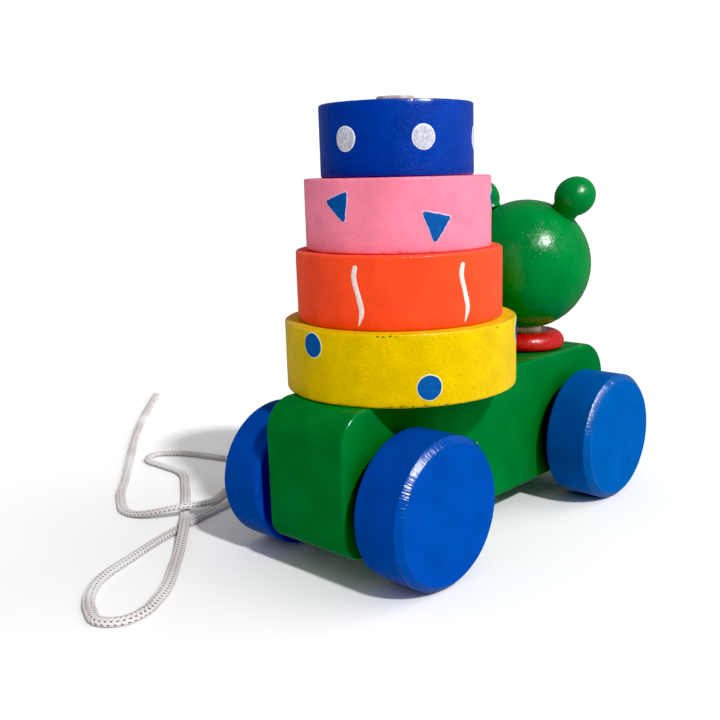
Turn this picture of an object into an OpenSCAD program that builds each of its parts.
// Wooden pull-along toy: a chassis block on four wheels, with a row of
// stacking rings on a peg, a ball head with two antennae, and a pull cord.
// +X points to the head, +Y to the toy's left, +Z up.
// The origin is on the floor, midway along the toy.

/* [Chassis] */
// Length of the chassis block
chassis_l = 159.5; // [150:0.5:165]
// Width of the chassis block
chassis_w = 35.5; // [30:0.5:36]
// Height of the chassis block
chassis_h = 49; // [44:0.5:50]
// Gap between the floor and the underside of the block
ground_gap = 9; // [7:0.5:12]
// Corner radius at the rear top, seen from the side
corner_rear_top = 11; // [8:0.5:14]
// Corner radius at the two lower corners, seen from the side
corner_low = 8; // [6:0.5:8]
// Corner radius at the front top, seen from the side
corner_front_top = 16; // [12:0.5:18]
// Rounding along every edge of the block
edge_round = 2; // [1.5:0.25:4]

/* [Wheels] */
// Diameter of a wheel
wheel_d = 50; // [48:0.5:52]
// Thickness of a wheel
wheel_t = 19; // [16:0.5:20]
// Gap between a wheel and the chassis side
wheel_gap = 4.75; // [3:0.25:6]
// Chamfer of a wheel's outer rim
wheel_chamfer = 2; // [1:0.25:3]
// Distance between the axles
wheel_base = 108; // [104:1:108]
// Diameter of an axle dowel
axle_d = 9; // [8:0.5:9.5]
// Radial clearance of an axle in the chassis
axle_play = 0.08; // [0.04:0.01:0.1]

/* [Stacking rings] */
// Diameter of the yellow ring
ring_yellow_d = 80; // [76:0.5:84]
// Diameter of the orange ring
ring_orange_d = 70.5; // [68:0.5:75]
// Diameter of the pink ring
ring_pink_d = 63; // [60:0.5:67]
// Diameter of the blue ring
ring_blue_d = 51.5; // [48:0.5:59]
// Height of each ring
ring_h = 23.5; // [22:0.5:24]
// Rounding of a ring's rims
ring_round = 0.8; // [0.6:0.2:2]
// Diameter of the peg
peg_d = 13; // [12:0.5:13.5]
// Diameter of the hole through a ring
ring_bore_d = 14.2; // [14.2:0.1:15]
// Height of the peg above the top ring
peg_proud = 2.5; // [2:0.5:4]

/* [Head] */
// Diameter of the ball head
head_d = 52; // [50:0.5:54]
// Diameter of the collar bead
collar_d = 31.5; // [30:0.5:34]
// Thickness of the collar bead
collar_t = 7; // [6.5:0.25:7.5]
// Gap between the collar and the ball
neck_gap = 1; // [0.5:0.25:1.5]
// Diameter of an antenna ball
antenna_d = 15.5; // [14:0.5:16]
// Diameter of an antenna's neck
antenna_neck_d = 10.5; // [9:0.5:11]
// Distance from the head's centre to an antenna ball's centre
antenna_reach = 33.4; // [33:0.1:35]
// Lean of an antenna to its side, from the vertical
antenna_lean = 36; // [34:1:45]
// Turn of the head about its neck, to the left
head_turn = 18; // [0:1:30]

/* [Pull cord] */
// Diameter of the cord's plain tube
cord_d = 3; // [2.6:0.2:3]
// Height of the cord hole above the floor
cord_hole_z = 22; // [20:1:24]

/* [Hidden] */
$fn = 96;

// Heights
chassis_top = ground_gap + chassis_h;
axle_z = wheel_d / 2;

// Stations along X
chassis_front = 80.5;
chassis_rear = chassis_front - chassis_l;
front_axle_x = 52.5;
rear_axle_x = front_axle_x - wheel_base;
peg_x = -30.5;
head_x = 47.5;

// Wheels and axles
wheel_inner_y = chassis_w / 2 + wheel_gap;
wheel_inner_round = 1.5;
axle_seat = 13;
axle_end_gap = 0.5;
axle_end_round = 0.6;

// Peg and rings
peg_seat = 28;
peg_top = chassis_top + 4 * ring_h + peg_proud;
peg_top_round = 0.6;
bore_chamfer = 0.8;

// Head: the dowel runs from the chassis through the collar into the ball
neck_d = peg_d;
neck_seat = 20;
neck_in_head = 14;
collar_round_top = 4.5;
collar_round_low = 2.2;
head_z = chassis_top + collar_t + neck_gap + head_d / 2;
head_flat = 0.5;
pin_d = 5;
pin_in_head = 8;
pin_in_ball = 7;

// Cord: the knot sits in a pocket drilled up from the underside
cord_hole_d = 5;
knot_x = 66;
knot_d = 8.4;
pocket_d = 10;
pocket_top = cord_hole_z + 5;
lie = cord_d / 2;
hump = lie + cord_d;

// The cord's route: out of the front face, down to the floor, back along the
// left side, then two loose loops behind the toy. Where the cord crosses
// itself, the upper strand rises to the height called hump.
ROUTE = [
    [knot_x, 0, cord_hole_z], [chassis_front, 0, cord_hole_z],
    [89, 0.5, 20], [96, 3, 12], [100.5, 10, 3.5], [101, 22, lie],
    [90, 40, lie], [56, 58, lie], [-10, 112, lie],
    [-26, 151.4, lie], [-30.4, 155.7, lie], [-36.5, 154.8, lie],
    [-39.6, 149.5, lie], [-40, 139, lie], [-41, 123, lie],
    [-51.5, 105.5, lie], [-70, 80, lie], [-79, 67.3, hump], [-98, 46, lie],
    [-120, 25, lie], [-127.6, 20.9, lie], [-135.1, 20.8, lie],
    [-139.8, 26.7, lie], [-138, 34, lie], [-128, 49, lie],
    [-105, 60.5, lie], [-54, 75, lie], [-32, 78.5, lie],
    [-26.9, 81.9, lie], [-26.5, 88, lie], [-31.1, 92.1, lie],
    [-37, 91.1, lie], [-49, 84.5, lie], [-61, 78.4, 3.4], [-70, 80, hump],
    [-83.5, 98, lie], [-76.5, 115, lie],
    [-58.5, 139.5, lie], [-6, 209, lie], [39.5, 261, lie]
];
// Longest step between two rings of the cord's tube
cord_step = 12.5;
cord_sides = 8;

// Cord sweep ------------------------------------------------------------

// Length of each span of the route
function span(i) = norm(ROUTE[i + 1] - ROUTE[i]);
function unit(v) = v / norm(v);
// Direction from one route point to the next
function ahead(i) = (ROUTE[i + 1] - ROUTE[i]) / span(i);
// Direction of travel at a route point; the nearer neighbour counts for more
function travel(i) =
    i == 0 ? ahead(0) :
    i == len(ROUTE) - 1 ? ahead(i - 1) :
    ahead(i - 1) * span(i) + ahead(i) * span(i - 1);
// The cord runs level wherever it lies on the floor
function heading(i) =
    unit([travel(i)[0], travel(i)[1], ROUTE[i][2] > lie ? travel(i)[2] : 0]);
// Point at fraction t of span i, on a smooth curve through the route
function on_span(i, t) =
    (2 * pow(t, 3) - 3 * pow(t, 2) + 1) * ROUTE[i]
    + (pow(t, 3) - 2 * pow(t, 2) + t) * span(i) * heading(i)
    + (3 * pow(t, 2) - 2 * pow(t, 3)) * ROUTE[i + 1]
    + (pow(t, 3) - pow(t, 2)) * span(i) * heading(i + 1);
// Number of tube steps in span i
function steps(i) = max(1, ceil(span(i) / cord_step));
cord_line = [
    for (i = [0 : len(ROUTE) - 2], k = [0 : steps(i) - 1])
        on_span(i, k / steps(i)),
    ROUTE[len(ROUTE) - 1]
];
// Travel direction, side and upper direction at a ring of the tube
function along(i) =
    let (last = len(cord_line) - 1)
    let (step = cord_line[min(i + 1, last)] - cord_line[max(i - 1, 0)])
    step / norm(step);
function sideways(i) =
    let (flat = cross([0, 0, 1], along(i)))
    flat / norm(flat);
function upward(i) = cross(along(i), sideways(i));
cord_points = [
    for (i = [0 : len(cord_line) - 1], k = [0 : cord_sides - 1])
        let (turn = 360 * (k + 0.5) / cord_sides)
        cord_line[i] + cord_d / 2 * (cos(turn) * sideways(i)
            + sin(turn) * upward(i))
];
cord_faces = [
    [for (k = [0 : cord_sides - 1]) k],
    for (i = [0 : len(cord_line) - 2], k = [0 : cord_sides - 1])
        let (a = i * cord_sides + k)
        let (b = i * cord_sides + (k + 1) % cord_sides)
        [a, a + cord_sides, b + cord_sides, b],
    [for (k = [cord_sides - 1 : -1 : 0])
        (len(cord_line) - 1) * cord_sides + k]
];

// Shared shapes ---------------------------------------------------------

// A quarter of a round, in the corner between +X and +Y
module quarter(r) {
    intersection() {
        circle(r);
        square(r);
    }
}

// Half profile of a turned disc with its rim rounded above and below
module disc_profile(r, h, top, base) {
    square([r - base, base]);
    translate([0, base]) square([r, h - top - base]);
    translate([0, h - top]) square([r - top, top]);
    translate([r - top, h - top]) quarter(top);
    translate([r - base, base]) mirror([0, 1]) quarter(base);
}

module disc(d, h, top, base) {
    rotate_extrude() disc_profile(d / 2, h, top, base);
}

// A through hole of a turned disc, with a chamfer at each mouth
module chamfered_bore(d, h) {
    translate([0, 0, -1]) cylinder(d = d, h = h + 2);
    for (z = [0, h]) translate([0, 0, z]) mirror([0, 0, z > 0 ? 0 : 1])
        translate([0, 0, -bore_chamfer])
            cylinder(d1 = d, d2 = d + 4 * bore_chamfer, h = 2 * bore_chamfer);
}

// A dowel along +Z with both ends slightly rounded
module dowel(d, h, top, base) {
    disc(d, h, top, base);
}

// Chassis ---------------------------------------------------------------

// One rounded corner of the block: a torus whose axis is along Y
module block_corner(x, y, z, r) {
    translate([x, y, z]) rotate([90, 0, 0])
        rotate_extrude($fn = 48) translate([r - edge_round, 0])
            circle(edge_round, $fn = 32);
}

module rounded_block() {
    side_y = chassis_w / 2 - edge_round;
    hull() for (y = [-side_y, side_y]) {
        block_corner(chassis_rear + corner_rear_top, y,
            chassis_top - corner_rear_top, corner_rear_top);
        block_corner(chassis_front - corner_front_top, y,
            chassis_top - corner_front_top, corner_front_top);
        for (x = [chassis_rear + corner_low, chassis_front - corner_low])
            block_corner(x, y, ground_gap + corner_low, corner_low);
    }
}

module axle_bore(x) {
    translate([x, chassis_w, axle_z]) rotate([90, 0, 0])
        cylinder(d = axle_d + 2 * axle_play, h = 2 * chassis_w);
}

module chassis_block() {
    color("green") difference() {
        rounded_block();
        for (x = [front_axle_x, rear_axle_x]) axle_bore(x);
        translate([peg_x, 0, chassis_top - peg_seat])
            cylinder(d = peg_d, h = peg_seat + 1);
        translate([head_x, 0, chassis_top - neck_seat])
            cylinder(d = neck_d, h = neck_seat + 1);
        translate([knot_x, 0, cord_hole_z]) rotate([0, 90, 0])
            cylinder(d = cord_hole_d, h = chassis_front);
        translate([knot_x, 0, 0]) cylinder(d = pocket_d, h = pocket_top);
    }
}

// Wheels and axles ------------------------------------------------------

module axle(x) {
    half = wheel_inner_y + axle_seat;
    color("burlywood") translate([x, half, axle_z]) rotate([90, 0, 0])
        dowel(axle_d, 2 * half, axle_end_round, axle_end_round);
}

// side is +1 for a left wheel and -1 for a right wheel
// Half profile of a wheel: a rounded inner rim and a chamfered outer one
module wheel_profile(r, h) {
    square([r - wheel_inner_round, wheel_inner_round]);
    translate([0, wheel_inner_round])
        square([r, h - wheel_chamfer - wheel_inner_round]);
    translate([0, h - wheel_chamfer]) polygon([
        [0, 0], [r, 0], [r - wheel_chamfer, wheel_chamfer], [0, wheel_chamfer]]);
    translate([r - wheel_inner_round, wheel_inner_round]) mirror([0, 1])
        quarter(wheel_inner_round);
}

module wheel(x, side) {
    color("blue") translate([x, side * wheel_inner_y, axle_z])
        rotate([-90 * side, 0, 0]) difference() {
            rotate_extrude() wheel_profile(wheel_d / 2, wheel_t);
            translate([0, 0, -1])
                cylinder(d = axle_d, h = axle_seat + axle_end_gap + 1);
        }
}

// Stack -----------------------------------------------------------------

module stacking_peg() {
    color("burlywood") translate([peg_x, 0, chassis_top - peg_seat])
        dowel(peg_d, peg_top - chassis_top + peg_seat,
            peg_top_round, axle_end_round);
}

// level counts the rings below this one
module ring(d, level, tint) {
    color(tint) translate([peg_x, 0, chassis_top + level * ring_h])
        difference() {
            disc(d, ring_h, ring_round, ring_round);
            chamfered_bore(ring_bore_d, ring_h);
        }
}

// Head ------------------------------------------------------------------

module neck_dowel() {
    color("burlywood") translate([head_x, 0, chassis_top - neck_seat])
        dowel(neck_d, neck_seat + collar_t + neck_gap + neck_in_head,
            axle_end_round, axle_end_round);
}

module collar_bead() {
    color("red") translate([head_x, 0, chassis_top]) difference() {
        disc(collar_d, collar_t, collar_round_top, collar_round_low);
        translate([0, 0, -1]) cylinder(d = neck_d, h = collar_t + 2);
    }
}

// Places its children along an antenna's axis, from the head's centre
module antenna_axis(side) {
    translate([head_x, 0, head_z]) rotate([0, 0, head_turn])
        rotate([-side * antenna_lean, 0, 0]) children();
}

module head_ball() {
    color("green") difference() {
        translate([head_x, 0, head_z]) sphere(d = head_d);
        translate([head_x, 0, head_z - head_d / 2 - 1])
            cylinder(d = neck_d, h = neck_in_head + 1);
        for (side = [-1, 1]) antenna_axis(side)
            translate([0, 0, head_d / 2 - pin_in_head])
                cylinder(d = pin_d, h = head_d);
    }
}

module antenna(side) {
    color("green") difference() {
        antenna_axis(side) union() {
            translate([0, 0, antenna_reach]) sphere(d = antenna_d);
            translate([0, 0, head_d / 2 - head_flat - 1])
                cylinder(d = antenna_neck_d,
                    h = antenna_reach - head_d / 2 + head_flat + 1);
        }
        translate([head_x, 0, head_z]) sphere(d = head_d);
        antenna_axis(side) cylinder(d = pin_d, h = head_d / 2 + pin_in_ball);
    }
}

module antenna_pin(side) {
    color("burlywood") antenna_axis(side)
        translate([0, 0, head_d / 2 - pin_in_head])
            cylinder(d = pin_d, h = pin_in_head + pin_in_ball);
}

// Pull cord -------------------------------------------------------------

module cord_knot() {
    color("lightgray") translate([knot_x, 0, cord_hole_z])
        sphere(d = knot_d);
}

module pull_cord() {
    color("lightgray") polyhedron(cord_points, cord_faces);
}

// Nodes -----------------------------------------------------------------

chassis_block();
stacking_peg();
neck_dowel();
collar_bead();
head_ball();
antenna(1);  // antenna_left
antenna(-1);  // antenna_right
antenna_pin(1);  // antenna_pin_left
antenna_pin(-1);  // antenna_pin_right
axle(rear_axle_x);  // rear_axle
wheel(rear_axle_x, 1);  // wheel_rear_left
wheel(rear_axle_x, -1);  // wheel_rear_right
axle(front_axle_x);  // front_axle
wheel(front_axle_x, 1);  // wheel_front_left
wheel(front_axle_x, -1);  // wheel_front_right
ring(ring_yellow_d, 0, "yellow");  // ring_yellow
ring(ring_orange_d, 1, "orangered");  // ring_orange
ring(ring_pink_d, 2, "hotpink");  // ring_pink
ring(ring_blue_d, 3, "blue");  // ring_blue
cord_knot();
pull_cord();
